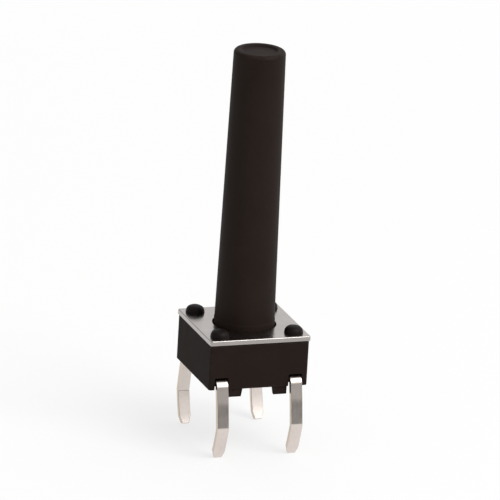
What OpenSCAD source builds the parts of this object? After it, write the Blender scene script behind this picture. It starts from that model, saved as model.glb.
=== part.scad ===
// Tactile push button switch, through-hole, with a tall button and four kinked legs.
// Millimetres, +Z up. The origin is the middle of the footprint, on the board's top face.
// X runs along the pitch of each leg row, and the legs leave the faces at -Y and +Y.

/* [Housing] */
// Width and depth of the square moulding
body_w = 6; // [5.8:0.05:6.2]
// Level of the moulding's top face, under the cover plate
body_top = 3.2; // [3:0.05:4]
// Radius of the moulding's upright edges
body_edge_r = 0.15; // [0.05:0.05:0.2]
// Thinnest wall between the button's bore and the moulding's side
side_wall = 0.72; // [0.5:0.01:0.75]
// Width of the moulding left outside each leg, at its corners
corner_strip = 0.35; // [0.2:0.01:0.4]
// Height of the feet, which hold the underside off the board
foot_h = 0.5; // [0.3:0.05:0.6]
// Radius of a quarter-round foot where it stands on the board
foot_r = 0.82; // [0.6:0.02:0.9]
// Draft of a foot, added to its radius at the underside
foot_draft = 0.08; // [0.01:0.01:0.1]
// How far a foot stands back from the moulding's face
foot_back = 0.1; // [0.05:0.01:0.2]
// Width of the mark that the moulding gate leaves underneath
gate_d = 1; // [0.6:0.1:1.6]
// Depth of the gate mark
gate_depth = 0.12; // [0.05:0.01:0.15]

/* [Cover plate] */
// How far the plate stands out past the moulding, all round
plate_lip = 0.05; // [0:0.01:0.1]
// Thickness of the plate
plate_t = 0.3; // [0.2:0.05:0.4]
// Radius of the plate's corners
plate_corner_r = 0.12; // [0.05:0.01:0.3]

/* [Staked posts] */
// Distance from the moulding's sides to a post's middle
post_inset = 0.75; // [0.7:0.01:0.78]
// Diameter of a post in its hole
post_d = 0.75; // [0.6:0.05:0.8]
// Gap all round a post in the plate's hole
post_gap = 0.03; // [0.02:0.01:0.05]
// Diameter of the melted head
head_d = 1.15; // [1:0.05:1.25]
// Height of the melted head above the plate
head_h = 0.5; // [0.3:0.02:0.5]

/* [Button] */
// Height of the button's top above the board
button_top = 20; // [6:0.5:22]
// Diameter of the button's root, above its guide
root_d = 3.5; // [3.2:0.05:3.5]
// Diameter of the button at its top
tip_d = 3; // [2.6:0.05:3.2]
// Radius of the button's top edge
tip_edge_r = 0.22; // [0.1:0.02:0.3]
// Diameter of the shallow dish in the button's top
dish_d = 1.9; // [1.4:0.1:2]
// Depth of the dish
dish_depth = 0.12; // [0.05:0.01:0.2]
// Diameter of the straight guide that runs in the plate's hole
guide_d = 3.54; // [3.5:0.02:3.7]
// Gap all round the guide and the flange
guide_gap = 0.08; // [0.05:0.01:0.1]
// How far the guide stands above the plate, past the travel
guide_spare = 0.08; // [0.05:0.01:0.3]
// Thickness of the flange
flange_t = 0.7; // [0.5:0.05:0.8]
// Play between the flange and the plate at rest
flange_play = 0.02; // [0.01:0.01:0.04]
// Diameter of the nib that presses the dome
nib_d = 1.5; // [1:0.1:1.8]

/* [Snap dome] */
// Clearance between the dome's edge and the strips on both sides of it
dome_clear = 0.05; // [0.03:0.01:0.1]
// Thickness of the dome's metal
dome_t = 0.08; // [0.06:0.01:0.1]
// Rise of the dome's underside above its rim
dome_rise = 0.33; // [0.3:0.01:0.36]
// Width of the flat ring round the rim that rests on the contacts
rim_land = 0.18; // [0.15:0.01:0.2]
// Travel of the button, until the dome meets the centre contact
travel = 0.25; // [0.2:0.01:0.28]

/* [Terminals] */
// Thickness of the terminal strip
strip_t = 0.3; // [0.2:0.02:0.35]
// Level of the strip's upper side, which is the floor of the dome's pocket
strip_top = 1.1; // [1.05:0.05:1.2]
// Width of a leg
leg_w = 0.7; // [0.5:0.05:0.75]
// How far the leg rows stand off the moulding's faces, where they enter the board
leg_stand = 0.25; // [0.2:0.05:0.4]
// Length of a leg below the board's top face
leg_below = 3.6; // [3:0.1:4]
// Level of the knee, just under a board of ordinary thickness
knee_z = -1.7; // [-2:0.05:-1.5]
// Lean of a leg outwards above the knee, in degrees
lean_out = 12; // [6:1:14]
// Lean of a leg inwards below the knee, in degrees
lean_in = 20; // [10:1:26]
// Centreline radius of the bend where a leg turns down
bend_r = 0.34; // [0.26:0.02:0.4]
// Centreline radius of the knee
knee_r = 0.5; // [0.3:0.05:0.6]
// Width of a leg's cut end
tip_w = 0.42; // [0.3:0.02:0.5]
// Length of the taper to the cut end
tip_taper = 0.45; // [0.2:0.05:0.8]
// Gap on both sides of a leg in its notch
notch_gap = 0.05; // [0.03:0.01:0.1]
// Depth of the notch behind the moulding's face
notch_depth = 0.65; // [0.4:0.05:0.7]
// Height of the stamped pads under the dome's rim
pad_h = 0.1; // [0.06:0.01:0.12]
// Diameter of a pad
pad_d = 0.34; // [0.26:0.02:0.36]
// Width of the arms that carry the pads
arm_w = 0.6; // [0.5:0.05:0.65]
// Half of the angle that the two arms go round, in degrees
arm_angle = 125; // [110:1:130]
// Diameter of the centre contact's raised face
contact_d = 0.7; // [0.5:0.05:0.8]

/* [Hidden] */
$fn = 64;
bend_steps = 10;
edge_steps = 6;
embed = 0.4;            // how far a joined shape reaches into the solid that carries it
cut = 1;                // how far a cutting shape runs past the face that it opens
notch_over = 0.1;       // how far a notch's ceiling lies above the strip
flange_room = 0.4;      // room left under the flange when the button is down
pocket_gap = 0.1;       // all round the dome
nib_gap = 0.01;         // between the nib and the dome at rest
nib_edge = 0.1;         // chamfer of the nib
contact_flare = 0.15;   // how much wider the centre contact is at its foot, all round
notch_w = leg_w + 2 * notch_gap;
post_pitch = body_w - 2 * post_inset;                   // both ways
leg_pitch = body_w - 2 * corner_strip - notch_w;        // between the two legs on one face
leg_row = body_w + 2 * leg_stand;                       // between the faces, at the board
foot_x = (leg_pitch - notch_w) / 2;                       // the side of the notch
foot_y = body_w / 2 - foot_back;
flange_d = body_w - 2 * (side_wall + guide_gap);
dome_d = leg_pitch - leg_w - 2 * dome_clear;
plate_w = body_w + 2 * plate_lip;
plate_top = body_top + plate_t;
head_r = (head_d * head_d / 4 + head_h * head_h) / (2 * head_h);
strip_mid = strip_top - strip_t / 2;
strip_bottom = strip_top - strip_t;
rim_z = strip_top + pad_h;
dome_in_r = dome_d / 2 - rim_land;
dome_r = (dome_in_r * dome_in_r + dome_rise * dome_rise) / (2 * dome_rise);
dome_top = rim_z + dome_rise + dome_t;
contact_z = rim_z + dome_rise - travel;
contact_foot_d = contact_d + 2 * contact_flare;
nib_z = dome_top + nib_gap;
flange_top = body_top - flange_play;
flange_bottom = flange_top - flange_t;
guide_top = plate_top + travel + guide_spare;
guide_step = (guide_d - root_d) / 2;
flange_bore_r = flange_d / 2 + guide_gap;
pocket_r = dome_d / 2 + pocket_gap;
shelf_z = flange_bottom - travel - flange_room;
arm_mid_r = dome_d / 2 - rim_land / 2;
tip_z = -leg_below;
leg_at_exit = leg_row / 2 - strip_mid * tan(lean_out);
leg_at_knee = leg_row / 2 - knee_z * tan(lean_out);
leg_at_tip = leg_at_knee - (knee_z - tip_z) * tan(lean_in);
leg_root = body_w / 2 - notch_depth - embed;
leg_path = [
    [leg_root, strip_mid],
    [leg_at_exit, strip_mid],
    [leg_at_knee, knee_z],
    [leg_at_tip, tip_z]
];
leg_radii = [bend_r, knee_r];
sides = [-1, 1];

function unit(v) = v / norm(v);
function turned(v, a) = [v[0] * cos(a) - v[1] * sin(a), v[0] * sin(a) + v[1] * cos(a)];
function cross2(a, b) = a[0] * b[1] - a[1] * b[0];

// One side of a rounded corner at b, offset by o to the left of the way from a to c.
function corner_side(a, b, c, r, o) =
    let (
        back = unit(a - b),
        on = unit(c - b),
        inner = acos(back * on),
        way = cross2(-back, on) > 0 ? 1 : -1,
        centre = b + unit(back + on) * r / sin(inner / 2),
        spoke = b + back * r / tan(inner / 2) - centre
    )
    [for (i = [0 : bend_steps])
        centre + turned(spoke, way * i * (180 - inner) / bend_steps) * (r - way * o) / r];

// One side of a bent strip along points p, with a radius at each inner corner.
function strip_side(p, radii, o) =
    let (last = len(p) - 1)
    concat(
        [p[0] + turned(unit(p[1] - p[0]), 90) * o],
        [for (i = [1 : last - 1]) each corner_side(p[i - 1], p[i], p[i + 1], radii[i - 1], o)],
        [p[last] + turned(unit(p[last] - p[last - 1]), 90) * o]
    );

function reversed(p) = [for (i = [len(p) - 1 : -1 : 0]) p[i]];

// A square prism with round upright edges.
module rounded_block(w, r, h) {
    translate([-w / 2, r - w / 2, 0]) cube([w, w - 2 * r, h]);
    translate([r - w / 2, -w / 2, 0]) cube([w - 2 * r, w, h]);
    for (x = sides, y = sides)
        translate([x * (w / 2 - r), y * (w / 2 - r), 0]) cylinder(r = r, h = h);
}

module at_posts() {
    for (x = sides, y = sides) translate([x * post_pitch / 2, y * post_pitch / 2, 0]) children();
}

// A quarter-round foot beside a notch, with its square sides towards the notch and the face.
module foot() {
    intersection() {
        translate([foot_x, foot_y, 0]) {
            cylinder(r1 = foot_r, r2 = foot_r + foot_draft, h = foot_h);
            translate([0, 0, foot_h]) cylinder(r = foot_r + foot_draft, h = foot_h);
        }
        cube([foot_x, foot_y, 2 * foot_h]);
    }
}

module feet() {
    for (x = [0, 1], y = [0, 1]) mirror([x, 0, 0]) mirror([0, y, 0]) foot();
}

// A post that stands through the plate, with its head melted over.
module post() {
    translate([0, 0, body_top - embed]) cylinder(d = post_d, h = plate_t + embed + head_h / 2);
    intersection() {
        translate([0, 0, plate_top + head_h - head_r]) sphere(r = head_r);
        translate([0, 0, plate_top]) cylinder(d = head_d, h = head_h + cut);
    }
}

// The legs leave the moulding through a notch at each end of the two leg rows.
module notches() {
    for (x = sides, y = sides)
        translate([x * leg_pitch / 2, y * (body_w / 2 - notch_depth / 2 + cut / 2), 0])
            translate([-notch_w / 2, -(notch_depth + cut) / 2, 0])
                cube([notch_w, notch_depth + cut, strip_top + notch_over]);
}

module base() {
    color("#292220") {
        difference() {
            union() {
                translate([0, 0, foot_h]) rounded_block(body_w, body_edge_r, body_top - foot_h);
                feet();
                at_posts() post();
            }
            translate([0, 0, shelf_z]) cylinder(r = flange_bore_r, h = body_top - shelf_z + cut);
            translate([0, 0, strip_top]) cylinder(r = pocket_r, h = shelf_z - strip_top + cut);
            translate([0, 0, foot_h - cut]) cylinder(d = gate_d, h = cut + gate_depth);
            notches();
            rim_frame();
            centre_frame();
        }
    }
}

module cover_plate() {
    color("#bdb8b5") {
        difference() {
            translate([0, 0, body_top]) rounded_block(plate_w, plate_corner_r, plate_t);
            translate([0, 0, body_top - cut])
                cylinder(d = guide_d + 2 * guide_gap, h = plate_t + 2 * cut);
            at_posts()
                translate([0, 0, body_top - cut])
                    cylinder(d = post_d + 2 * post_gap, h = plate_t + 2 * cut);
        }
    }
}

// Radius and level along the button's outside, from the middle of its foot to the middle of its top.
button_outline = concat(
    [
        [0, nib_z],
        [nib_d / 2 - nib_edge, nib_z],
        [nib_d / 2, nib_z + nib_edge],
        [nib_d / 2, flange_bottom],
        [flange_d / 2, flange_bottom],
        [flange_d / 2, flange_top],
        [guide_d / 2, flange_top],
        [guide_d / 2, guide_top],
        [root_d / 2, guide_top + guide_step]
    ],
    [for (i = [0 : edge_steps])
        [tip_d / 2 - tip_edge_r * (1 - cos(i * 90 / edge_steps)),
         button_top - tip_edge_r * (1 - sin(i * 90 / edge_steps))]],
    [
        [dish_d / 2 + dish_depth, button_top],
        [dish_d / 2, button_top - dish_depth],
        [0, button_top - dish_depth]
    ]
);

module button() {
    color("#2c2422") rotate_extrude() polygon(button_outline);
}

// A shallow cap of sprung metal that rests on its rim.
module snap_dome() {
    color("#c9c2b6") {
        intersection() {
            translate([0, 0, rim_z + dome_rise - dome_r]) {
                difference() {
                    sphere(r = dome_r + dome_t);
                    sphere(r = dome_r);
                }
            }
            translate([0, 0, rim_z]) cylinder(d = dome_d, h = dome_rise + dome_t + cut);
        }
    }
}

// A leg seen from its end face, with both edges drawn in to the cut end.
leg_face = [
    [-tip_w / 2, tip_z],
    [tip_w / 2, tip_z],
    [leg_w / 2, tip_z + tip_taper],
    [leg_w / 2, strip_top],
    [-leg_w / 2, strip_top],
    [-leg_w / 2, tip_z + tip_taper]
];

module leg() {
    intersection() {
        rotate([90, 0, 90])
            translate([0, 0, -leg_w])
                linear_extrude(2 * leg_w)
                    polygon(concat(
                        strip_side(leg_path, leg_radii, strip_t / 2),
                        reversed(strip_side(leg_path, leg_radii, -strip_t / 2))
                    ));
        rotate([90, 0, 0])
            translate([0, 0, -leg_row])
                linear_extrude(2 * leg_row) polygon(leg_face);
    }
}

// One stamped strip along the leg rows' pitch line at x, with a leg at each end.
module leg_pair(x) {
    translate([x, 0, 0]) {
        translate([-leg_w / 2, -leg_root - embed / 2, strip_bottom])
            cube([leg_w, 2 * leg_root + embed, strip_t]);
        leg();
        mirror([0, 1, 0]) leg();
    }
}

// A ring sector of the strip, open towards -X.
module arms() {
    translate([0, 0, strip_bottom]) {
        difference() {
            cylinder(r = arm_mid_r + arm_w / 2, h = strip_t);
            translate([0, 0, -cut]) cylinder(r = arm_mid_r - arm_w / 2, h = strip_t + 2 * cut);
            translate([0, 0, -cut])
                linear_extrude(strip_t + 2 * cut)
                    polygon([
                        [0, 0],
                        2 * dome_d * [cos(arm_angle), sin(arm_angle)],
                        [-2 * dome_d, 0],
                        2 * dome_d * [cos(arm_angle), -sin(arm_angle)]
                    ]);
        }
    }
}

module pads() {
    for (a = [0, 120, 240])
        rotate([0, 0, a])
            translate([arm_mid_r, 0, strip_bottom]) cylinder(d = pad_d, h = strip_t + pad_h);
}

module rim_frame() {
    leg_pair(leg_pitch / 2);
    arms();
    pads();
}

module centre_frame() {
    leg_pair(-leg_pitch / 2);
    translate([-leg_pitch / 2, -arm_w / 2, strip_bottom]) cube([leg_pitch / 2, arm_w, strip_t]);
    translate([0, 0, strip_bottom]) cylinder(d = contact_foot_d, h = strip_t);
    translate([0, 0, strip_top])
        cylinder(d1 = contact_foot_d, d2 = contact_d, h = contact_z - strip_top);
}

module rim_terminal() {
    color("#b4a99d") rim_frame();
}

module centre_terminal() {
    color("#b4a99d") centre_frame();
}

base();
cover_plate();
button();
snap_dome();
rim_terminal();
centre_terminal();
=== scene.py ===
import bmesh
import bpy
import math
import random
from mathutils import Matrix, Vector, noise


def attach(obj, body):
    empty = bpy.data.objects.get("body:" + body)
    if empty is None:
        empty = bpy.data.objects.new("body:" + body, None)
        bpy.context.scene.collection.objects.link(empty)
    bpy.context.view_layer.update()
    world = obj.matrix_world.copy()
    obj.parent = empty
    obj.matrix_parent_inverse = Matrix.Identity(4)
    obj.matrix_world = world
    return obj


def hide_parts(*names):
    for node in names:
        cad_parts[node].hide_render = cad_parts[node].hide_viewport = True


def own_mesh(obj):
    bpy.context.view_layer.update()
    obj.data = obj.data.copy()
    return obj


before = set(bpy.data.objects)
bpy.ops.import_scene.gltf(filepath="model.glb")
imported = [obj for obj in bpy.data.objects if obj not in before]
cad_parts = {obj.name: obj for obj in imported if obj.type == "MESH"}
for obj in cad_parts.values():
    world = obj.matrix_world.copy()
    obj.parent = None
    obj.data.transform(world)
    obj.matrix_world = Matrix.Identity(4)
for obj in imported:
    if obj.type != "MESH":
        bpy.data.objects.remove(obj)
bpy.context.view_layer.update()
print("frame loaded, nodes:", sorted(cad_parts))

# Every piece is drawn in millimetres and brought down to metres when it is done.
mm = 0.001
past = 1        # how far a cutter is drawn on, to be well past what it cuts
near = 0.001    # what counts as lying on a level or a radius
corners = [(x, y) for x in (-1, 1) for y in (-1, 1)]


# helpers for modelling

def letGo():
    if bpy.context.mode != "OBJECT":
        bpy.ops.object.mode_set(mode="OBJECT")
    bpy.ops.object.select_all(action="DESELECT")


def only(piece):
    letGo()
    piece.select_set(True)
    bpy.context.view_layer.objects.active = piece


def startPiece(name):
    piece = bpy.context.object
    piece.name = name
    piece.data.name = name
    return piece


def openMesh(piece, pick="DESELECT"):
    only(piece)
    bpy.ops.object.mode_set(mode="EDIT")
    bpy.ops.mesh.select_mode(type="FACE")
    bpy.ops.mesh.select_all(action=pick)


def closeMesh():
    bpy.ops.object.mode_set(mode="OBJECT")


def pickFaces(piece, test):
    bpy.ops.mesh.select_mode(type="FACE")
    bpy.ops.mesh.select_all(action="DESELECT")
    mesh = bmesh.from_edit_mesh(piece.data)
    for face in mesh.faces:
        if test(face.calc_center_median(), face.normal):
            face.select_set(True)
    bmesh.update_edit_mesh(piece.data)


def pickEdges(piece, test):
    bpy.ops.mesh.select_mode(type="EDGE")
    bpy.ops.mesh.select_all(action="DESELECT")
    mesh = bmesh.from_edit_mesh(piece.data)
    for edge in mesh.edges:
        if test(edge.verts[0].co, edge.verts[1].co):
            edge.select_set(True)
    bmesh.update_edit_mesh(piece.data)


def grow(radiusBefore, radiusAfter, rise, level):
    # extrudes the picked end face of a turned piece to a new radius and level
    bpy.ops.mesh.extrude_region_move(TRANSFORM_OT_translate={"value": (0, 0, rise)})
    scale = radiusAfter / radiusBefore
    bpy.ops.transform.resize(value=(scale, scale, 1), center_override=(0, 0, level))


def useModifier(piece, kind, **settings):
    only(piece)
    modifier = piece.modifiers.new(kind.title(), kind)
    for key, value in settings.items():
        setattr(modifier, key, value)
    bpy.ops.object.modifier_apply(modifier=modifier.name)


def freeze():
    # the picked piece's place, turn and size go into its mesh
    bpy.ops.object.transform_apply(location=True, rotation=True, scale=True)


def joinAll(first, *others):
    letGo()
    for piece in (first,) + others:
        piece.select_set(True)
    bpy.context.view_layer.objects.active = first
    bpy.ops.object.join()
    return first


def addBox(name, place, size):
    bpy.ops.mesh.primitive_cube_add(size=1, location=place, scale=size)
    box = startPiece(name)
    freeze()
    return box


def addRod(name, sides, radius, bottom, top, x=0, y=0):
    bpy.ops.mesh.primitive_cylinder_add(vertices=sides, radius=radius, depth=top - bottom,
                                        location=(x, y, (top + bottom) / 2))
    rod = startPiece(name)
    freeze()
    return rod


def addSection(name, width, height, place, turn):
    # a strip's cut end, as the start of a strip that is drawn out from it
    bpy.ops.mesh.primitive_plane_add(size=1, location=place, rotation=turn)
    section = startPiece(name)
    section.scale = (width, height, 1)
    freeze()
    return section


def carve(piece, cutter, operation="DIFFERENCE"):
    useModifier(piece, "BOOLEAN", object=cutter, operation=operation, solver="EXACT",
                material_mode="TRANSFER")
    bpy.data.objects.remove(cutter)


def copyOf(piece, flip):
    only(piece)
    bpy.ops.object.duplicate()
    double = bpy.context.object
    double.scale = flip
    bpy.ops.object.transform_apply(location=False, rotation=False, scale=True)
    return double


def soften(piece, width, above, segments=2):
    # rounds every edge that is sharper than the given angle
    useModifier(piece, "BEVEL", width=width, segments=segments, limit_method="ANGLE",
                angle_limit=math.radians(above))


def outward(piece):
    openMesh(piece, "SELECT")
    bpy.ops.mesh.remove_doubles(threshold=near / 2)
    bpy.ops.mesh.normals_make_consistent(inside=False)
    closeMesh()


def settle(piece, smoothBelow=35):
    # from millimetres to metres, with the piece's own place kept in its mesh
    only(piece)
    freeze()
    bpy.ops.object.shade_smooth_by_angle(angle=math.radians(smoothBelow))
    # keeps broad faces flat up to their rounded edges, and works only while the faces are measured in mm
    useModifier(piece, "WEIGHTED_NORMAL", weight=90, keep_sharp=True)
    piece.scale = (mm, mm, mm)
    bpy.ops.object.transform_apply(location=False, rotation=False, scale=True)


def coat(piece, material):
    piece.data.materials.clear()
    piece.data.materials.append(material)


def dress(piece, body, slot, *nodes):
    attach(piece, body)
    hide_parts(*nodes)


# camera, from the photograph's point of view

viewpoint = {
    "azimuth": -19.91,       # degrees round from the front, to the left
    "elevation": 18.21,
    "roll": 3.33,            # the switch leans to the right in the picture
    "distance": 0.4538,
    "aimFrom": (0, 0, 0.006),
    "aimAt": (0.0001, 0, 0.0079),
    "lens": 565,
}


def placeCamera():
    azimuth, elevation = math.radians(viewpoint["azimuth"]), math.radians(viewpoint["elevation"])
    back = Vector((math.sin(azimuth) * math.cos(elevation),
                   -math.cos(azimuth) * math.cos(elevation),
                   math.sin(elevation)))
    camera = bpy.data.objects.new("camera", bpy.data.cameras.new("camera"))
    bpy.context.scene.collection.objects.link(camera)
    camera.location = Vector(viewpoint["aimFrom"]) + back * viewpoint["distance"]
    look = Vector(viewpoint["aimAt"]) - camera.location
    camera.rotation_euler = look.to_track_quat("-Z", "Y").to_euler()
    camera.rotation_euler.rotate_axis("Z", math.radians(viewpoint["roll"]))
    camera.data.lens = viewpoint["lens"]
    camera.data.sensor_width = 36
    camera.data.clip_start = 0.01
    camera.data.clip_end = 20
    bpy.context.scene.camera = camera


placeCamera()
print("camera placed")


# helpers for materials

def addNode(tree, kind, place, **values):
    node = tree.nodes.new(kind)
    node.location = place
    for key, value in values.items():
        if hasattr(node, key):
            setattr(node, key, value)
        else:
            node.inputs[key].default_value = value
    return node


def newGroup(name, inputs, outputs):
    group = bpy.data.node_groups.new(name, "ShaderNodeTree")
    for label, kind, value in inputs:
        socket = group.interface.new_socket(label, in_out="INPUT", socket_type=kind)
        if value is not None:
            socket.default_value = value
    for label in outputs:
        group.interface.new_socket(label, in_out="OUTPUT", socket_type="NodeSocketFloat")
    return group


def combine(tree, place, operation, first, second):
    node = addNode(tree, "ShaderNodeMath", place, operation=operation)
    tree.links.new(first, node.inputs[0])
    tree.links.new(second, node.inputs[1])
    return node.outputs[0]


def span(tree, place, value, reach, low, high):
    # a number that runs smoothly from low to high while the value crosses the reach
    node = addNode(tree, "ShaderNodeMapRange", place, interpolation_type="SMOOTHSTEP")
    node.inputs["From Min"].default_value, node.inputs["From Max"].default_value = reach
    node.inputs["To Min"].default_value, node.inputs["To Max"].default_value = low, high
    tree.links.new(value, node.inputs["Value"])
    return node


def spotInMm(tree, x, y):
    spot = addNode(tree, "ShaderNodeTexCoord", (x, y))
    inMm = addNode(tree, "ShaderNodeVectorMath", (x + 180, y), operation="SCALE", Scale=1 / mm)
    tree.links.new(spot.outputs["Object"], inMm.inputs[0])
    return inMm.outputs[0]


def ramp(tree, place, stops):
    node = addNode(tree, "ShaderNodeValToRGB", place)
    marks = node.color_ramp.elements
    marks[0].position, marks[0].color = stops[0][0], (stops[0][1],) * 3 + (1,)
    marks[1].position, marks[1].color = stops[-1][0], (stops[-1][1],) * 3 + (1,)
    for position, level in stops[1:-1]:
        marks.new(position).color = (level,) * 3 + (1,)
    return node


# the skin of a moulding: the mould's fine spark grain, broad flow marks and a little dust

def makeMouldSkin():
    group = newGroup("mouldSkin",
                     [("Grain size", "NodeSocketFloat", 0.06),
                      ("Flow size", "NodeSocketFloat", 2.0),
                      ("Dust", "NodeSocketFloat", 0.3)],
                     ["Grain", "Flow", "Specks"])
    links = group.links
    source = addNode(group, "NodeGroupInput", (-900, 0))
    result = addNode(group, "NodeGroupOutput", (600, 0))
    spot = spotInMm(group, -900, 250)
    for label, y, look in (("Grain", 60, {"Detail": 3.0, "Roughness": 0.6}),
                           ("Flow", -120, {"Detail": 4.0, "Roughness": 0.55, "Distortion": 0.6})):
        perSize = addNode(group, "ShaderNodeMath", (-720, y), operation="DIVIDE")
        perSize.inputs[0].default_value = 1
        links.new(source.outputs[label + " size"], perSize.inputs[1])
        uneven = addNode(group, "ShaderNodeTexNoise", (-500, y), **look)
        links.new(spot, uneven.inputs["Vector"])
        links.new(perSize.outputs[0], uneven.inputs["Scale"])
        links.new(uneven.outputs["Fac"], result.inputs[label])
    specks = addNode(group, "ShaderNodeTexVoronoi", (-500, -320), Scale=2.6)
    links.new(spot, specks.inputs["Vector"])
    dot = ramp(group, (-300, -320), [(0.02, 1.0), (0.055, 0.0)])
    links.new(specks.outputs["Distance"], dot.inputs["Fac"])
    amount = combine(group, (0, -320), "MULTIPLY", dot.outputs["Color"], source.outputs["Dust"])
    links.new(amount, result.inputs["Specks"])
    return group


# the skin of rolled strip: grain along one axis, hairline scratches and faint clouding

def makeRolledSkin():
    group = newGroup("rolledSkin",
                     [("Along", "NodeSocketVector", (0.25, 6.0, 6.0)),
                      ("Scratch stretch", "NodeSocketVector", (0.7, 16.0, 16.0)),
                      ("Scratch density", "NodeSocketFloat", 1.0)],
                     ["Grain", "Scratches", "Clouds"])
    links = group.links
    source = addNode(group, "NodeGroupInput", (-1100, 0))
    result = addNode(group, "NodeGroupOutput", (600, 0))
    spot = spotInMm(group, -1100, 300)
    drawn = addNode(group, "ShaderNodeVectorMath", (-720, 300), operation="MULTIPLY")
    links.new(spot, drawn.inputs[0])
    links.new(source.outputs["Along"], drawn.inputs[1])
    grain = addNode(group, "ShaderNodeTexNoise", (-500, 300), Scale=4.0, Detail=5.0, Roughness=0.65)
    links.new(drawn.outputs[0], grain.inputs["Vector"])
    links.new(grain.outputs["Fac"], result.inputs["Grain"])
    # two sets of straight hairlines that cross at a slant
    sets = []
    for turn, y in (((0.15, 0.2, 0.5), 0), ((-0.2, -0.12, -0.7), -300)):
        turned = addNode(group, "ShaderNodeMapping", (-900, y))
        turned.inputs["Rotation"].default_value = turn
        links.new(spot, turned.inputs["Vector"])
        stretched = addNode(group, "ShaderNodeVectorMath", (-700, y), operation="MULTIPLY")
        links.new(turned.outputs[0], stretched.inputs[0])
        links.new(source.outputs["Scratch stretch"], stretched.inputs[1])
        hair = addNode(group, "ShaderNodeTexNoise", (-500, y), Scale=1.0, Detail=1.0)
        links.new(stretched.outputs[0], hair.inputs["Vector"])
        line = ramp(group, (-300, y), [(0.70, 0.0), (0.76, 1.0)])
        links.new(hair.outputs["Fac"], line.inputs["Fac"])
        sets.append(line.outputs["Color"])
    either = combine(group, (0, -100), "MAXIMUM", *sets)
    both = addNode(group, "ShaderNodeMath", (250, -160), operation="MULTIPLY", use_clamp=True)
    links.new(either, both.inputs[0])
    links.new(source.outputs["Scratch density"], both.inputs[1])
    links.new(both.outputs[0], result.inputs["Scratches"])
    clouds = addNode(group, "ShaderNodeTexNoise", (-300, -560), Scale=0.8, Detail=4.0, Roughness=0.6)
    links.new(spot, clouds.inputs["Vector"])
    links.new(clouds.outputs["Fac"], result.inputs["Clouds"])
    return group


# rubbed edges: how near a point is to the second nearest face of a box

def makeEdgeRub():
    group = newGroup("edgeRub",
                     [("Place", "NodeSocketVector", None),
                      ("Centre", "NodeSocketVector", (0, 0, 0)),
                      ("Half size", "NodeSocketVector", (1, 1, 1)),
                      ("Reach", "NodeSocketFloat", 0.12)],
                     ["Rub"])
    links = group.links
    source = addNode(group, "NodeGroupInput", (-1100, 0))
    result = addNode(group, "NodeGroupOutput", (900, 0))
    offset = addNode(group, "ShaderNodeVectorMath", (-740, 200), operation="SUBTRACT")
    links.new(source.outputs["Place"], offset.inputs[0])
    links.new(source.outputs["Centre"], offset.inputs[1])
    size = addNode(group, "ShaderNodeVectorMath", (-560, 200), operation="ABSOLUTE")
    links.new(offset.outputs[0], size.inputs[0])
    depth = addNode(group, "ShaderNodeVectorMath", (-380, 120), operation="SUBTRACT")
    links.new(source.outputs["Half size"], depth.inputs[0])
    links.new(size.outputs[0], depth.inputs[1])
    axes = addNode(group, "ShaderNodeSeparateXYZ", (-200, 120))
    links.new(depth.outputs[0], axes.inputs[0])
    x, y, z = axes.outputs
    least = combine(group, (180, 300), "MINIMUM", combine(group, (0, 300), "MAXIMUM", x, y), z)
    second = combine(group, (360, 200), "MAXIMUM", combine(group, (0, 60), "MINIMUM", x, y), least)
    close = span(group, (540, 100), second, (0, 1), 1, 0)
    links.new(source.outputs["Reach"], close.inputs["From Max"])
    spot = addNode(group, "ShaderNodeTexCoord", (0, -200))
    uneven = addNode(group, "ShaderNodeTexNoise", (180, -200), Scale=3.5 / mm, Detail=4.0, Roughness=0.65)
    links.new(spot.outputs["Object"], uneven.inputs["Vector"])
    patches = ramp(group, (360, -200), [(0.40, 0.0), (0.68, 1.0)])
    links.new(uneven.outputs["Fac"], patches.inputs["Fac"])
    rub = combine(group, (720, 0), "MULTIPLY", close.outputs["Result"], patches.outputs["Color"])
    links.new(rub, result.inputs["Rub"])
    return group


mouldSkin = makeMouldSkin()
rolledSkin = makeRolledSkin()
edgeRub = makeEdgeRub()


def useGroup(tree, place, group, values):
    node = addNode(tree, "ShaderNodeGroup", place, node_tree=group)
    for label, value in values.items():
        node.inputs[label].default_value = value
    return node


def startMaterial(name):
    material = bpy.data.materials.new(name)
    material.use_nodes = True
    tree = material.node_tree
    shader = tree.nodes["Principled BSDF"]
    return material, tree, shader


def between(tree, place, mask, low, high):
    # a number that runs from low to high as the mask goes from 0 to 1
    node = addNode(tree, "ShaderNodeMapRange", place)
    node.inputs["To Min"].default_value = low
    node.inputs["To Max"].default_value = high
    tree.links.new(mask, node.inputs["Value"])
    return node.outputs["Result"]


def addMix(tree, place, kind, mask):
    # the node has its own sockets for each kind: both inputs, then the result
    under, over, result = {"RGBA": (6, 7, 2), "FLOAT": (2, 3, 0)}[kind]
    node = addNode(tree, "ShaderNodeMix", place, data_type=kind)
    tree.links.new(mask, node.inputs[0])
    return node.inputs[under], node.inputs[over], node.outputs[result]


def tinted(tree, place, mask, first, second):
    low, high, result = addMix(tree, place, "RGBA", mask)
    low.default_value, high.default_value = first + (1,), second + (1,)
    return result


def bumped(tree, place, height, depth, strength, under=None):
    node = addNode(tree, "ShaderNodeBump", place, Strength=strength, Distance=depth)
    tree.links.new(height, node.inputs["Height"])
    if under:
        tree.links.new(under, node.inputs["Normal"])
    return node.outputs["Normal"]


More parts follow.
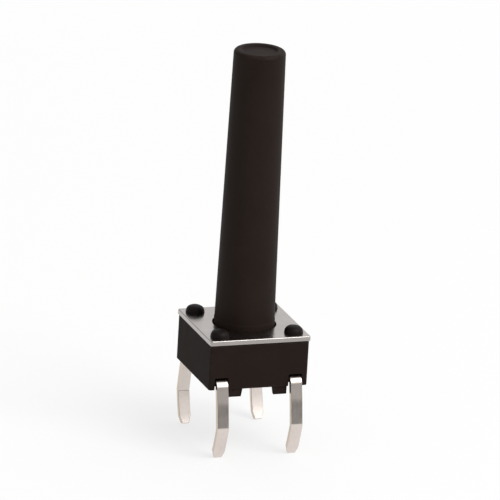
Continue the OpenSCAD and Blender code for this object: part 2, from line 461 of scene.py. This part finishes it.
def addRub(tree, look):
    rub = useGroup(tree, (-1150, -300), edgeRub, {
        "Centre": look["rubCentre"], "Half size": look["rubHalf"], "Reach": look["rubReach"]})
    place = spotInMm(tree, -1900, -300)
    if look.get("round"):
        # a turned piece has its radius in place of X
        flat = addNode(tree, "ShaderNodeVectorMath", (-1720, -500), operation="MULTIPLY")
        flat.inputs[1].default_value = (1, 1, 0)
        tree.links.new(place, flat.inputs[0])
        radius = addNode(tree, "ShaderNodeVectorMath", (-1540, -500), operation="LENGTH")
        tree.links.new(flat.outputs[0], radius.inputs[0])
        parts = addNode(tree, "ShaderNodeSeparateXYZ", (-1540, -300))
        tree.links.new(place, parts.inputs[0])
        turned = addNode(tree, "ShaderNodeCombineXYZ", (-1350, -300))
        tree.links.new(radius.outputs["Value"], turned.inputs["X"])
        tree.links.new(parts.outputs["Z"], turned.inputs["Z"])
        place = turned.outputs[0]
    tree.links.new(place, rub.inputs["Place"])
    return rub.outputs["Rub"]


def mixedIn(tree, place, mask, under, over):
    # a colour or number laid over another where the mask is
    isColour = isinstance(over, tuple)
    low, high, result = addMix(tree, place, "RGBA" if isColour else "FLOAT", mask)
    tree.links.new(under, low)
    high.default_value = over + (1,) if isColour else over
    return result


def makePlastic(name, look):
    material, tree, shader = startMaterial(name)
    skin = useGroup(tree, (-900, 0), mouldSkin, {
        "Grain size": look["grainSize"], "Flow size": look["flowSize"], "Dust": look["dust"]})
    rub = addRub(tree, look)
    colour = tinted(tree, (-600, 250), skin.outputs["Flow"], look["deep"], look["pale"])
    colour = mixedIn(tree, (-400, 250), rub, colour, look["rubbed"])
    colour = mixedIn(tree, (-200, 250), skin.outputs["Specks"], colour, look["lint"])
    tree.links.new(colour, shader.inputs["Base Color"])
    sheen = between(tree, (-600, 0), skin.outputs["Flow"], *look["roughness"])
    sheen = mixedIn(tree, (-400, 0), rub, sheen, look["rubbedRoughness"])
    tree.links.new(sheen, shader.inputs["Roughness"])
    normal = bumped(tree, (-600, -250), skin.outputs["Grain"],
                    look["grainDepth"] * mm, look["grainStrength"])
    tree.links.new(normal, shader.inputs["Normal"])
    shader.inputs["Specular IOR Level"].default_value = look["gloss"]
    return material


hairline = {"depth": 0.0015, "strength": 0.35}   # how deep a scratch is cut into rolled strip


def makeStrip(name, look):
    material, tree, shader = startMaterial(name)
    skin = useGroup(tree, (-900, 0), rolledSkin, {
        "Along": look["along"], "Scratch stretch": look["scratchStretch"],
        "Scratch density": look["scratches"]})
    colour = tinted(tree, (-600, 250), skin.outputs["Clouds"], look["deep"], look["pale"])
    scratched = between(tree, (-600, 80), skin.outputs["Scratches"], 0.0, look["scratchTint"])
    colour = mixedIn(tree, (-400, 250), scratched, colour, look["scratch"])
    if "sheared" in look:
        # the cut sides of the strip show the metal under its plating
        side = addNode(tree, "ShaderNodeNewGeometry", (-1150, 500))
        axes = addNode(tree, "ShaderNodeSeparateXYZ", (-970, 500))
        tree.links.new(side.outputs["Normal"], axes.inputs[0])
        across = addNode(tree, "ShaderNodeMath", (-790, 500), operation="ABSOLUTE")
        tree.links.new(axes.outputs["X"], across.inputs[0])
        cut = ramp(tree, (-600, 500), [(0.75, 0.0), (0.92, 1.0)])
        tree.links.new(across.outputs[0], cut.inputs["Fac"])
        colour = mixedIn(tree, (-200, 250), cut.outputs["Color"], colour, look["sheared"])
    tree.links.new(colour, shader.inputs["Base Color"])
    sheen = between(tree, (-600, -80), skin.outputs["Grain"], *look["roughness"])
    tree.links.new(sheen, shader.inputs["Roughness"])
    grained = bumped(tree, (-600, -280), skin.outputs["Grain"],
                     look["grainDepth"] * mm, look["grainStrength"])
    normal = bumped(tree, (-350, -280), skin.outputs["Scratches"],
                    -hairline["depth"] * mm, hairline["strength"], grained)
    tree.links.new(normal, shader.inputs["Normal"])
    shader.inputs["Metallic"].default_value = 1
    return material


housingBlack = makePlastic("housingBlack", {
    "deep": (0.0132, 0.0082, 0.0065), "pale": (0.0200, 0.0130, 0.0107), "lint": (0.10, 0.09, 0.08),
    "rubbed": (0.032, 0.023, 0.020), "rubbedRoughness": 0.42,
    "rubCentre": (0, 0, 1.85), "rubHalf": (3.0, 3.0, 1.35), "rubReach": 0.16,
    "grainSize": 0.07, "grainDepth": 0.012, "grainStrength": 0.5, "flowSize": 1.6,
    "roughness": (0.58, 0.76), "gloss": 0.05, "dust": 0.25,
})
# the same plastic where heat has melted it
meltedBlack = makePlastic("meltedBlack", {
    "deep": (0.0060, 0.0036, 0.0030), "pale": (0.0110, 0.0070, 0.0058), "lint": (0.05, 0.04, 0.04),
    "rubbed": (0.012, 0.008, 0.007), "rubbedRoughness": 0.4,
    "rubCentre": (0, 0, 3.4), "rubHalf": (4.0, 4.0, 1.0), "rubReach": 0.1,
    "grainSize": 0.12, "grainDepth": 0.010, "grainStrength": 0.4, "flowSize": 0.5,
    "roughness": (0.42, 0.62), "gloss": 0.12, "dust": 0.1,
})
buttonBlack = makePlastic("buttonBlack", {
    "deep": (0.0142, 0.0088, 0.0070), "pale": (0.0220, 0.0145, 0.0120), "lint": (0.10, 0.09, 0.08),
    "rubbed": (0.025, 0.0168, 0.0142), "rubbedRoughness": 0.50,
    "round": True, "rubCentre": (0, 0, 10), "rubHalf": (1.5, 10, 10), "rubReach": 0.3,
    "grainSize": 0.09, "grainDepth": 0.010, "grainStrength": 0.4, "flowSize": 2.6,
    "roughness": (0.50, 0.68), "gloss": 0.06, "dust": 0.3,
})
plateSteel = makeStrip("plateSteel", {
    "deep": (0.365, 0.337, 0.322), "pale": (0.475, 0.440, 0.420), "scratch": (0.25, 0.23, 0.22),
    "along": (0.3, 7.0, 7.0), "scratchStretch": (0.7, 16.0, 16.0), "scratches": 0.8, "scratchTint": 0.5,
    "roughness": (0.16, 0.30), "grainDepth": 0.004, "grainStrength": 0.35,
})
platedBrass = makeStrip("platedBrass", {
    "deep": (0.62, 0.555, 0.515), "pale": (0.80, 0.72, 0.67), "scratch": (0.40, 0.35, 0.31),
    "sheared": (0.60, 0.50, 0.40),
    "along": (7.0, 0.6, 0.6), "scratchStretch": (16.0, 16.0, 1.2), "scratches": 0.9, "scratchTint": 0.4,
    "roughness": (0.14, 0.30), "grainDepth": 0.005, "grainStrength": 0.4,
})
domeSteel = makeStrip("domeSteel", {
    "deep": (0.58, 0.55, 0.50), "pale": (0.72, 0.69, 0.64), "scratch": (0.42, 0.40, 0.37),
    "along": (0.3, 7.0, 7.0), "scratchStretch": (0.7, 16.0, 16.0), "scratches": 0.5, "scratchTint": 0.4,
    "roughness": (0.18, 0.30), "grainDepth": 0.003, "grainStrength": 0.3,
})
print("materials made")


# housing moulding

housing = {
    "width": 6.0, "underside": 0.5, "top": 3.2, "edgeRound": 0.15,
    "flangeBore": 4.56, "boreFloor": 1.83, "pocket": 3.9, "pocketFloor": 1.095,
    "gateWidth": 1.0, "gateDepth": 0.12,
    "legPitch": 4.5, "notchWidth": 0.8, "notchDepth": 0.65, "notchTop": 1.2,
    "footRadius": 0.82, "footDraft": 0.08, "footBack": 0.1, "footAside": 0.05,
    "footSink": 0.2, "softEdge": 0.035, "softAbove": 40,
    "postPitch": 4.5, "postWidth": 0.75, "postDepth": 0.7,
    "headWidth": 1.12, "headTop": 3.95, "plateTop": 3.5,
    "headWobble": 0.03, "headWaves": 2.4, "headFlat": 2.6, "headShare": 0.985,
    "firstSeed": 3,          # each head is uneven in its own way
}


def makeFoot():
    inner = housing["legPitch"] / 2 - housing["notchWidth"] / 2 - housing["footAside"]
    front = housing["width"] / 2 - housing["footBack"]
    height = housing["underside"] + housing["footSink"]
    draft = housing["footDraft"] * height / housing["underside"]
    bpy.ops.mesh.primitive_cone_add(vertices=64, radius1=housing["footRadius"],
                                    radius2=housing["footRadius"] + draft, depth=height,
                                    location=(inner, front, height / 2))
    foot = startPiece("foot")
    openMesh(foot)
    # cut down to a quarter
    for normal in ((1, 0, 0), (0, 1, 0)):
        bpy.ops.mesh.select_all(action="SELECT")
        bpy.ops.mesh.bisect(plane_co=(inner, front, 0), plane_no=normal, use_fill=True, clear_outer=True)
    closeMesh()
    only(foot)
    freeze()
    soften(foot, housing["softEdge"], housing["softAbove"])
    return foot


def makeHead(seed):
    # the top of a post, softened with heat and pressed over the plate
    random.seed(seed)
    height = housing["headTop"] - housing["plateTop"]
    bpy.ops.mesh.primitive_uv_sphere_add(segments=40, ring_count=24, radius=housing["headWidth"] / 2,
                                         location=(0, 0, 0))
    head = startPiece("head")
    coat(head, meltedBlack)
    openMesh(head, "SELECT")
    bpy.ops.mesh.bisect(plane_co=(0, 0, 0), plane_no=(0, 0, 1), use_fill=True, clear_inner=True)
    bpy.ops.mesh.select_all(action="SELECT")
    bpy.ops.transform.resize(value=(1, 1, height / (housing["headWidth"] / 2)), center_override=(0, 0, 0))
    pickFaces(head, lambda middle, normal: normal.z < -0.9)
    bpy.ops.mesh.inset(thickness=(housing["headWidth"] - housing["postWidth"]) / 2)
    bpy.ops.mesh.extrude_region_move(TRANSFORM_OT_translate={"value": (0, 0, -housing["postDepth"])})
    closeMesh()
    shift = Vector((random.uniform(0, 50), random.uniform(0, 50), random.uniform(0, 50)))
    for vertex in head.data.vertices:
        if vertex.co.z > near:
            swell = noise.noise(vertex.co * housing["headWaves"] + shift) * housing["headWobble"]
            out, up = vertex.co.xy.length / (housing["headWidth"] / 2), vertex.co.z / height
            full = (out ** housing["headFlat"] + up ** housing["headFlat"]) ** (-1 / housing["headFlat"])
            vertex.co *= full * (housing["headShare"] - abs(swell))
    return head


def makeHousing():
    width, under, top = housing["width"], housing["underside"], housing["top"]
    block = addBox("housingMoulding", (0, 0, (under + top) / 2), (width, width, top - under))
    openMesh(block)
    pickEdges(block, lambda a, b: abs(a.z - b.z) > near)
    bpy.ops.mesh.bevel(offset=housing["edgeRound"], segments=5, affect="EDGES")
    closeMesh()

    # bore for the flange, then the narrower pocket for the dome, from one turned cutter
    shelf, floor = housing["boreFloor"], housing["pocketFloor"]
    wide, narrow = housing["flangeBore"] / 2, housing["pocket"] / 2
    cutter = addRod("boreCutter", 96, wide, shelf, top + past)
    openMesh(cutter)
    pickFaces(cutter, lambda middle, normal: normal.z < -0.9)
    bpy.ops.mesh.inset(thickness=wide - narrow)
    bpy.ops.mesh.extrude_region_move(TRANSFORM_OT_translate={"value": (0, 0, floor - shelf)})
    closeMesh()
    carve(block, cutter)

    # notches for the legs, and the mark of the moulding gate
    notchWide, notchDeep, ceiling = housing["notchWidth"], housing["notchDepth"], housing["notchTop"]
    cutters = []
    for x, y in corners:
        middle = (x * housing["legPitch"] / 2, y * (width + past - notchDeep) / 2, ceiling / 2)
        cutters.append(addBox("notchCutter", middle, (notchWide, notchDeep + past, ceiling)))
    mark = under + housing["gateDepth"]
    cutters.append(addRod("gateCutter", 48, housing["gateWidth"] / 2, mark - past, mark))
    carve(block, joinAll(*cutters))

    soften(block, housing["softEdge"], housing["softAbove"])
    coat(block, housingBlack)

    foot = makeFoot()
    feet = [foot] + [copyOf(foot, flip) for flip in ((-1, 1, 1), (1, -1, 1), (-1, -1, 1))]
    for one in feet:
        outward(one)
    carve(block, joinAll(*feet), "UNION")

    heads = []
    for seed, (x, y) in enumerate(((-1, -1), (1, -1), (-1, 1), (1, 1))):
        head = makeHead(seed + housing["firstSeed"])
        head.location = (x * housing["postPitch"] / 2, y * housing["postPitch"] / 2, housing["plateTop"])
        only(head)
        freeze()
        heads.append(head)
    carve(block, joinAll(*heads), "UNION")
    settle(block)
    dress(block, "housing", "housing", "base")


makeHousing()
print("housing moulding done")


# cover plate

cover = {
    "width": 6.1, "under": 3.2, "top": 3.5, "cornerRound": 0.12,
    "buttonHole": 3.7, "postHole": 0.81, "postPitch": 4.5,
    "rollOver": 0.06, "lowerEdge": 0.02,
    "holeRoll": 0.7,         # the holes' share of the outer edge's roll-over
}


def makePunch(radius, sides, place):
    # a hole's cutter, flared at the plate's upper face
    roll, top = cover["rollOver"] * cover["holeRoll"], cover["top"]
    punch = addRod("punch", sides, radius, top - roll - past, top - roll)
    openMesh(punch)
    pickFaces(punch, lambda middle, normal: normal.z > 0.9)
    before, level, steps = radius, top - roll, 4
    for i in range(1, steps + 1):
        turn = math.pi / 2 * i / steps
        after, rise = radius + roll * (1 - math.cos(turn)), top - roll + roll * math.sin(turn) - level
        grow(before, after, rise, level + rise)
        before, level = after, level + rise
    grow(1, 1, past, top + past)
    closeMesh()
    punch.location = place + (0,)
    only(punch)
    freeze()
    return punch


def makeCover():
    width, under, top = cover["width"], cover["under"], cover["top"]
    plate = addBox("coverPlate", (0, 0, (under + top) / 2), (width, width, top - under))
    openMesh(plate)
    pickEdges(plate, lambda a, b: abs(a.z - b.z) > near)
    bpy.ops.mesh.bevel(offset=cover["cornerRound"], segments=6, affect="EDGES")
    # the blanking die draws the upper edge down and leaves the lower one sharp
    pickEdges(plate, lambda a, b: min(a.z, b.z) > top - near)
    bpy.ops.mesh.bevel(offset=cover["rollOver"], segments=4, affect="EDGES")
    pickEdges(plate, lambda a, b: max(a.z, b.z) < under + near)
    bpy.ops.mesh.bevel(offset=cover["lowerEdge"], segments=1, affect="EDGES")
    closeMesh()
    cutters = [makePunch(cover["buttonHole"] / 2, 128, (0, 0))]
    for x, y in corners:
        place = (x * cover["postPitch"] / 2, y * cover["postPitch"] / 2)
        cutters.append(makePunch(cover["postHole"] / 2, 48, place))
    carve(plate, joinAll(*cutters))
    settle(plate, smoothBelow=40)
    coat(plate, plateSteel)
    dress(plate, "housing", "plate", "cover_plate")


makeCover()
print("cover plate done")


# button, turned from one cylinder: nib, flange, guide and the long tapered stem

button = {
    "nibLevel": 1.62, "nibRadius": 0.75, "nibChamfer": 0.1,
    "flangeRadius": 2.2, "flangeUnder": 2.48, "flangeTop": 3.18, "flangeEdge": 0.05,
    "guideRadius": 1.77, "guideTop": 3.83,
    "rootRadius": 1.75, "rootLevel": 3.85,
    "tipRadius": 1.5, "top": 20.0, "tipEdge": 0.22,
    "dishRadius": 0.95, "dishDepth": 0.12, "dishEdge": 0.045,
}


def rims(*places):
    # a test for the edges that go round a turned piece at these radii and levels
    def lies(point, radius, level):
        return abs(point.xy.length - radius) < near and abs(point.z - level) < near

    return lambda a, b: any(lies(a, *place) and lies(b, *place) for place in places)


def makeButton():
    b = button
    stem = b["top"] - b["rootLevel"]
    bpy.ops.mesh.primitive_cone_add(vertices=96, radius1=b["rootRadius"], radius2=b["tipRadius"], depth=stem,
                                    location=(0, 0, b["rootLevel"] + stem / 2))
    knob = startPiece("pushButton")
    freeze()
    openMesh(knob)
    # from the root downwards: guide, flange, nib
    pickFaces(knob, lambda middle, normal: normal.z < -0.9)
    drop = b["guideTop"] - b["rootLevel"]
    grow(b["rootRadius"], b["guideRadius"], drop, b["guideTop"])
    grow(1, 1, b["flangeTop"] - b["guideTop"], b["flangeTop"])
    grow(b["guideRadius"], b["flangeRadius"], 0, b["flangeTop"])
    grow(1, 1, b["flangeUnder"] - b["flangeTop"], b["flangeUnder"])
    grow(b["flangeRadius"], b["nibRadius"], 0, b["flangeUnder"])
    grow(1, 1, b["nibLevel"] + b["nibChamfer"] - b["flangeUnder"], b["nibLevel"])
    grow(b["nibRadius"], b["nibRadius"] - b["nibChamfer"], -b["nibChamfer"], b["nibLevel"])
    # the dished top, then its round outer edge
    pickFaces(knob, lambda middle, normal: normal.z > 0.9 and middle.z > b["top"] - near)
    bpy.ops.mesh.inset(thickness=b["tipRadius"] - b["dishRadius"] - b["dishDepth"])
    grow(b["dishRadius"] + b["dishDepth"], b["dishRadius"], -b["dishDepth"], b["top"])
    bpy.ops.mesh.inset(thickness=b["dishRadius"] / 2)
    top, dish, flange = b["top"], b["dishRadius"], b["flangeRadius"]
    pickEdges(knob, rims((b["tipRadius"], top)))
    bpy.ops.mesh.bevel(offset=b["tipEdge"], segments=8, affect="EDGES")
    pickEdges(knob, rims((dish + b["dishDepth"], top), (dish, top - b["dishDepth"])))
    bpy.ops.mesh.bevel(offset=b["dishEdge"], segments=3, affect="EDGES")
    pickEdges(knob, rims((flange, b["flangeTop"]), (flange, b["flangeUnder"])))
    bpy.ops.mesh.bevel(offset=b["flangeEdge"], segments=3, affect="EDGES")
    closeMesh()
    outward(knob)
    settle(knob, smoothBelow=30)
    coat(knob, buttonBlack)
    dress(knob, "button", "button", "button")


makeButton()
print("button done")


# the two stamped terminals, each with a leg bent out of both faces

legs = {
    "width": 0.7, "thickness": 0.3, "pitch": 4.5, "row": 6.5,
    "level": 0.95, "start": 1.9, "leanOut": 12.0, "leanIn": 20.0,
    "bendRadius": 0.34, "kneeRadius": 0.45, "kneeLevel": -1.7, "tipLevel": -3.6,
    "bow": 1.4, "tailBow": 3.0, "bowRadius": 9.0,   # both stretches bow outwards by these degrees each way
    "tipWidth": 0.42, "tipTaper": 0.47, "softEdge": 0.035, "softAbove": 50,
    "armRadius": 1.76, "armWidth": 0.6, "armAngle": 125.0,
    "padWidth": 0.34, "padHeight": 0.1, "padFoot": 0.02,
    "contactWidth": 0.7, "contactFlare": 0.15, "contactLevel": 1.28,
    "sliver": 0.002,         # shorter edges than this are merged away
}


def makeLeg():
    # drawn on the plane x = 0 as a strip that runs out along +Y and turns down
    def onLine(z):
        return Vector((0, legs["row"] / 2 - z * math.tan(math.radians(legs["leanOut"])), z))

    def crownOf(a, b, bow):
        # where a bowed stretch turns, a little outwards of its middle
        along = b - a
        return (a + b) / 2 + Vector((0, -along.z, along.y)) * math.tan(math.radians(bow)) / 2

    corner, knee = onLine(legs["level"]), onLine(legs["kneeLevel"])
    fall = legs["kneeLevel"] - legs["tipLevel"]
    tip = knee - Vector((0, fall * math.tan(math.radians(legs["leanIn"])), fall))
    turns = [(corner, legs["bendRadius"]), (crownOf(corner, knee, legs["bow"]), legs["bowRadius"]),
             (knee, legs["kneeRadius"]), (crownOf(knee, tip, legs["tailBow"]), legs["bowRadius"])]

    here = Vector((0, legs["start"], legs["level"]))
    leg = addSection("leg", legs["width"], legs["thickness"], here, (math.pi / 2, 0, 0))
    openMesh(leg, "SELECT")

    def goOn(way):
        bpy.ops.mesh.extrude_region_move(TRANSFORM_OT_translate={"value": tuple(way)})

    for i, (point, radius) in enumerate(turns):
        after = turns[i + 1][0] if i < len(turns) - 1 else tip
        before, onward = (point - here).normalized(), (after - point).normalized()
        angle = before.angle(onward)
        run = radius * math.tan(angle / 2)
        goOn(point - before * run - here)
        centre = point - before * run + Vector((0, before.z, -before.y)) * radius
        bpy.ops.mesh.spin(steps=8, angle=angle, center=tuple(centre), axis=(1, 0, 0))
        here = point + onward * run
    goOn(tip - onward * legs["tipTaper"] - here)
    goOn(onward * legs["tipTaper"])
    bpy.ops.transform.resize(value=(legs["tipWidth"] / legs["width"], 1, 1), center_override=tuple(tip))
    bpy.ops.mesh.select_all(action="SELECT")
    bpy.ops.mesh.bisect(plane_co=(0, 0, legs["tipLevel"]), plane_no=(0, 0, -1),
                        use_fill=True, clear_outer=True)
    closeMesh()
    outward(leg)
    return leg


leg = makeLeg()


def makeStripBetween(x):
    # both legs of one terminal and the strip that joins them through the moulding
    one = copyOf(leg, (1, 1, 1))
    two = copyOf(leg, (1, -1, 1))
    for piece in (one, two):
        piece.location = (x, 0, 0)
        only(piece)
        freeze()
    bar = addBox("bar", (x, 0, legs["level"]), (legs["width"], 2 * legs["start"], legs["thickness"]))
    strip = joinAll(bar, one, two)
    openMesh(strip, "SELECT")
    bpy.ops.mesh.remove_doubles(threshold=near / 2)
    # the walls where the legs meet the bar are inside the metal now
    pickFaces(strip, lambda middle, normal: abs(normal.y) > 0.9
              and abs(abs(middle.y) - legs["start"]) < near)
    bpy.ops.mesh.delete(type="FACE")
    bpy.ops.mesh.select_all(action="SELECT")
    bpy.ops.mesh.normals_make_consistent(inside=False)
    closeMesh()
    soften(strip, legs["softEdge"], legs["softAbove"], 3)
    return strip


def finishTerminal(strip, inner, name, node):
    # the shapes inside the moulding keep their sheared edges and become one with the strip
    carve(strip, inner, "UNION")
    strip.name = name
    openMesh(strip, "SELECT")
    bpy.ops.mesh.dissolve_degenerate(threshold=legs["sliver"])
    closeMesh()
    settle(strip)
    coat(strip, platedBrass)
    dress(strip, "housing", "terminals", node)


def makeRimTerminal():
    strip = makeStripBetween(legs["pitch"] / 2)
    # arms that go round under the dome's rim
    reach = math.radians(legs["armAngle"])
    start = Vector((math.cos(-reach), math.sin(-reach), 0)) * legs["armRadius"]
    arms = addSection("arms", legs["armWidth"], legs["thickness"], (start.x, start.y, legs["level"]),
                      (math.pi / 2, 0, -reach))
    openMesh(arms, "SELECT")
    bpy.ops.mesh.spin(steps=60, angle=-2 * reach, center=(0, 0, legs["level"]), axis=(0, 0, 1))
    closeMesh()
    pads = []
    upper = legs["level"] + legs["thickness"] / 2
    foot = upper - legs["thickness"] + legs["padFoot"]
    for turn in (0, 120, 240):
        x, y = (legs["armRadius"] * f(math.radians(turn)) for f in (math.cos, math.sin))
        pads.append(addRod("pad", 32, legs["padWidth"] / 2, foot, upper + legs["padHeight"], x, y))
    outward(arms)
    carve(arms, joinAll(*pads), "UNION")
    finishTerminal(strip, arms, "rimTerminal", "rim_terminal")


def makeCentreTerminal():
    strip = makeStripBetween(-legs["pitch"] / 2)
    lower, upper = (legs["level"] + side * legs["thickness"] / 2 for side in (-1, 1))
    tongue = addBox("tongue", (-legs["pitch"] / 4, 0, legs["level"]),
                    (legs["pitch"] / 2, legs["armWidth"], legs["thickness"]))
    wide = legs["contactWidth"] / 2 + legs["contactFlare"]
    contact = addRod("contact", 48, wide, lower, upper)
    openMesh(contact)
    pickFaces(contact, lambda middle, normal: normal.z > 0.9)
    grow(wide, legs["contactWidth"] / 2, legs["contactLevel"] - upper, legs["contactLevel"])
    closeMesh()
    carve(tongue, contact, "UNION")
    finishTerminal(strip, tongue, "centreTerminal", "centre_terminal")


makeRimTerminal()
makeCentreTerminal()
bpy.data.objects.remove(leg)
print("terminals done")


# snap dome, a shallow cap that flattens under the nib

dome = {"radius": 1.85, "rimLevel": 1.2, "land": 0.18, "rise": 0.33, "thickness": 0.08, "keep": 0.39}


def makeDome():
    inner = dome["radius"] - dome["land"]
    ball = (inner ** 2 + dome["rise"] ** 2) / (2 * dome["rise"])
    bpy.ops.mesh.primitive_circle_add(vertices=64, radius=dome["radius"], fill_type="NGON",
                                      location=(0, 0, dome["rimLevel"] + dome["thickness"]))
    cap = startPiece("snapDome")
    freeze()
    openMesh(cap, "SELECT")
    bpy.ops.mesh.inset(thickness=dome["land"])
    steps = 8
    for step in range(steps):
        bpy.ops.mesh.inset(thickness=inner / (steps + 1))
    closeMesh()
    for vertex in cap.data.vertices:
        out = vertex.co.xy.length
        if out < inner:
            vertex.co.z += math.sqrt(ball ** 2 - out ** 2) - (ball - dome["rise"])
    useModifier(cap, "SOLIDIFY", thickness=dome["thickness"], offset=-1)
    settle(cap, smoothBelow=50)
    coat(cap, domeSteel)
    dress(cap, "housing", "dome", "snap_dome")
    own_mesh(cap)


makeDome()
print("snap dome done")


# floor, background and lamps

studio = {
    "floorLevel": -3.6 * mm,
    "floorWidth": 6.0,
    "keyPlace": (0.32, -0.42, 0.55), "keySize": 0.45, "keyPower": 3.1,
    "sidePlace": (-0.5, -0.15, 0.35), "sideSize": 0.4, "sidePower": 0.1,
    "skyLight": 0.88, "leftSpan": (-0.7, 0.3), "leftDim": 0.35,
    "frontSpan": (-0.4, 0.2), "bandHeight": (0.05, 0.25),
    "darkBand": 0.08, "highFront": 1.2, "backBand": 0.85,
    "lampAim": (0, 0, 0.008),
    "paper": (0.96, 0.96, 0.955), "darkRoom": (0.05, 0.05, 0.05), "paperFront": (-0.042, -0.028),
    "paperGlow": 0.7,        # share of plain white in the paper close to the switch
    "fadeSpan": (0.03, 0.16),
}


def makeFloor():
    bpy.ops.mesh.primitive_plane_add(size=studio["floorWidth"], location=(0, 0, studio["floorLevel"]))
    floor = startPiece("floor")
    freeze()
    material, tree, shader = startMaterial("whitePaper")
    shader.inputs["Roughness"].default_value = 0.9
    shader.inputs["Specular IOR Level"].default_value = 0.1
    place = addNode(tree, "ShaderNodeTexCoord", (-1100, -100))
    rays = addNode(tree, "ShaderNodeLightPath", (-1100, -500))
    # what shines sees the paper up to its front end, and a dark room beyond it
    axes = addNode(tree, "ShaderNodeSeparateXYZ", (-900, 100))
    tree.links.new(place.outputs["Object"], axes.inputs[0])
    laid = span(tree, (-700, 100), axes.outputs["Y"], studio["paperFront"], 0, 1)
    shining = rays.outputs["Is Glossy Ray"]
    mirrored = combine(tree, (-500, 0), "MULTIPLY", laid.outputs["Result"], shining)
    beyond = combine(tree, (-500, 200), "SUBTRACT", shining, mirrored)
    paper = tinted(tree, (-300, 200), beyond, studio["paper"], studio["darkRoom"])
    tree.links.new(paper, shader.inputs["Base Color"])
    # far from the switch the paper fades into the white background
    away = addNode(tree, "ShaderNodeVectorMath", (-900, -300), operation="LENGTH")
    tree.links.new(place.outputs["Object"], away.inputs[0])
    fade = span(tree, (-700, -300), away.outputs["Value"], studio["fadeSpan"], studio["paperGlow"], 1)
    looked = combine(tree, (-300, -200), "ADD", rays.outputs["Is Camera Ray"], mirrored)
    seen = combine(tree, (-100, -300), "MULTIPLY", fade.outputs["Result"], looked)
    white = addNode(tree, "ShaderNodeEmission", (0, -450))
    white.inputs["Color"].default_value = (1, 1, 1, 1)
    mixer = addNode(tree, "ShaderNodeMixShader", (300, 0))
    tree.links.new(seen, mixer.inputs[0])
    tree.links.new(shader.outputs[0], mixer.inputs[1])
    tree.links.new(white.outputs[0], mixer.inputs[2])
    tree.links.new(mixer.outputs[0], tree.nodes["Material Output"].inputs["Surface"])
    floor.data.materials.append(material)


def makeLamp(name, place, size, power):
    lamp = bpy.data.objects.new(name, bpy.data.lights.new(name, "AREA"))
    bpy.context.scene.collection.objects.link(lamp)
    lamp.location = place
    aim = Vector(studio["lampAim"]) - Vector(place)
    lamp.rotation_euler = aim.to_track_quat("-Z", "Y").to_euler()
    lamp.data.size = size
    lamp.data.energy = power


def makeSky():
    world = bpy.data.worlds.new("studioSky")
    bpy.context.scene.world = world
    world.use_nodes = True
    tree = world.node_tree
    ground = tree.nodes["Background"]
    ground.inputs["Color"].default_value = (1, 1, 1, 1)
    rays = addNode(tree, "ShaderNodeLightPath", (-900, 300))
    # the room is dimmer to the left, and what shines sees a dark band low down in front
    place = addNode(tree, "ShaderNodeTexCoord", (-1100, -100))
    axes = addNode(tree, "ShaderNodeSeparateXYZ", (-900, -100))
    tree.links.new(place.outputs["Generated"], axes.inputs[0])
    depth = axes.outputs["Y"]
    low = span(tree, (-700, -300), depth, studio["frontSpan"], studio["darkBand"], studio["backBand"])
    high = span(tree, (-700, -550), depth, studio["frontSpan"], studio["highFront"], 1)
    room = span(tree, (-500, -100), axes.outputs["Z"], studio["bandHeight"], 0, 1)
    tree.links.new(low.outputs["Result"], room.inputs["To Min"])
    tree.links.new(high.outputs["Result"], room.inputs["To Max"])
    light, mirrored, strength = addMix(tree, (-100, 100), "FLOAT", rays.outputs["Is Glossy Ray"])
    light.default_value = studio["skyLight"]
    tree.links.new(room.outputs["Result"], mirrored)
    left = span(tree, (-500, 400), axes.outputs["X"], studio["leftSpan"], studio["leftDim"], 1)
    dimmed = combine(tree, (100, 200), "MULTIPLY", strength, left.outputs["Result"])
    # the camera itself sees plain white
    unseen, seen, strength = addMix(tree, (300, 200), "FLOAT", rays.outputs["Is Camera Ray"])
    seen.default_value = 1
    tree.links.new(dimmed, unseen)
    tree.links.new(strength, ground.inputs["Strength"])


makeFloor()
makeLamp("keyLamp", studio["keyPlace"], studio["keySize"], studio["keyPower"])
makeLamp("sideLamp", studio["sidePlace"], studio["sideSize"], studio["sidePower"])
makeSky()
bpy.context.scene.view_settings.view_transform = "Standard"
print("studio done")

letGo()
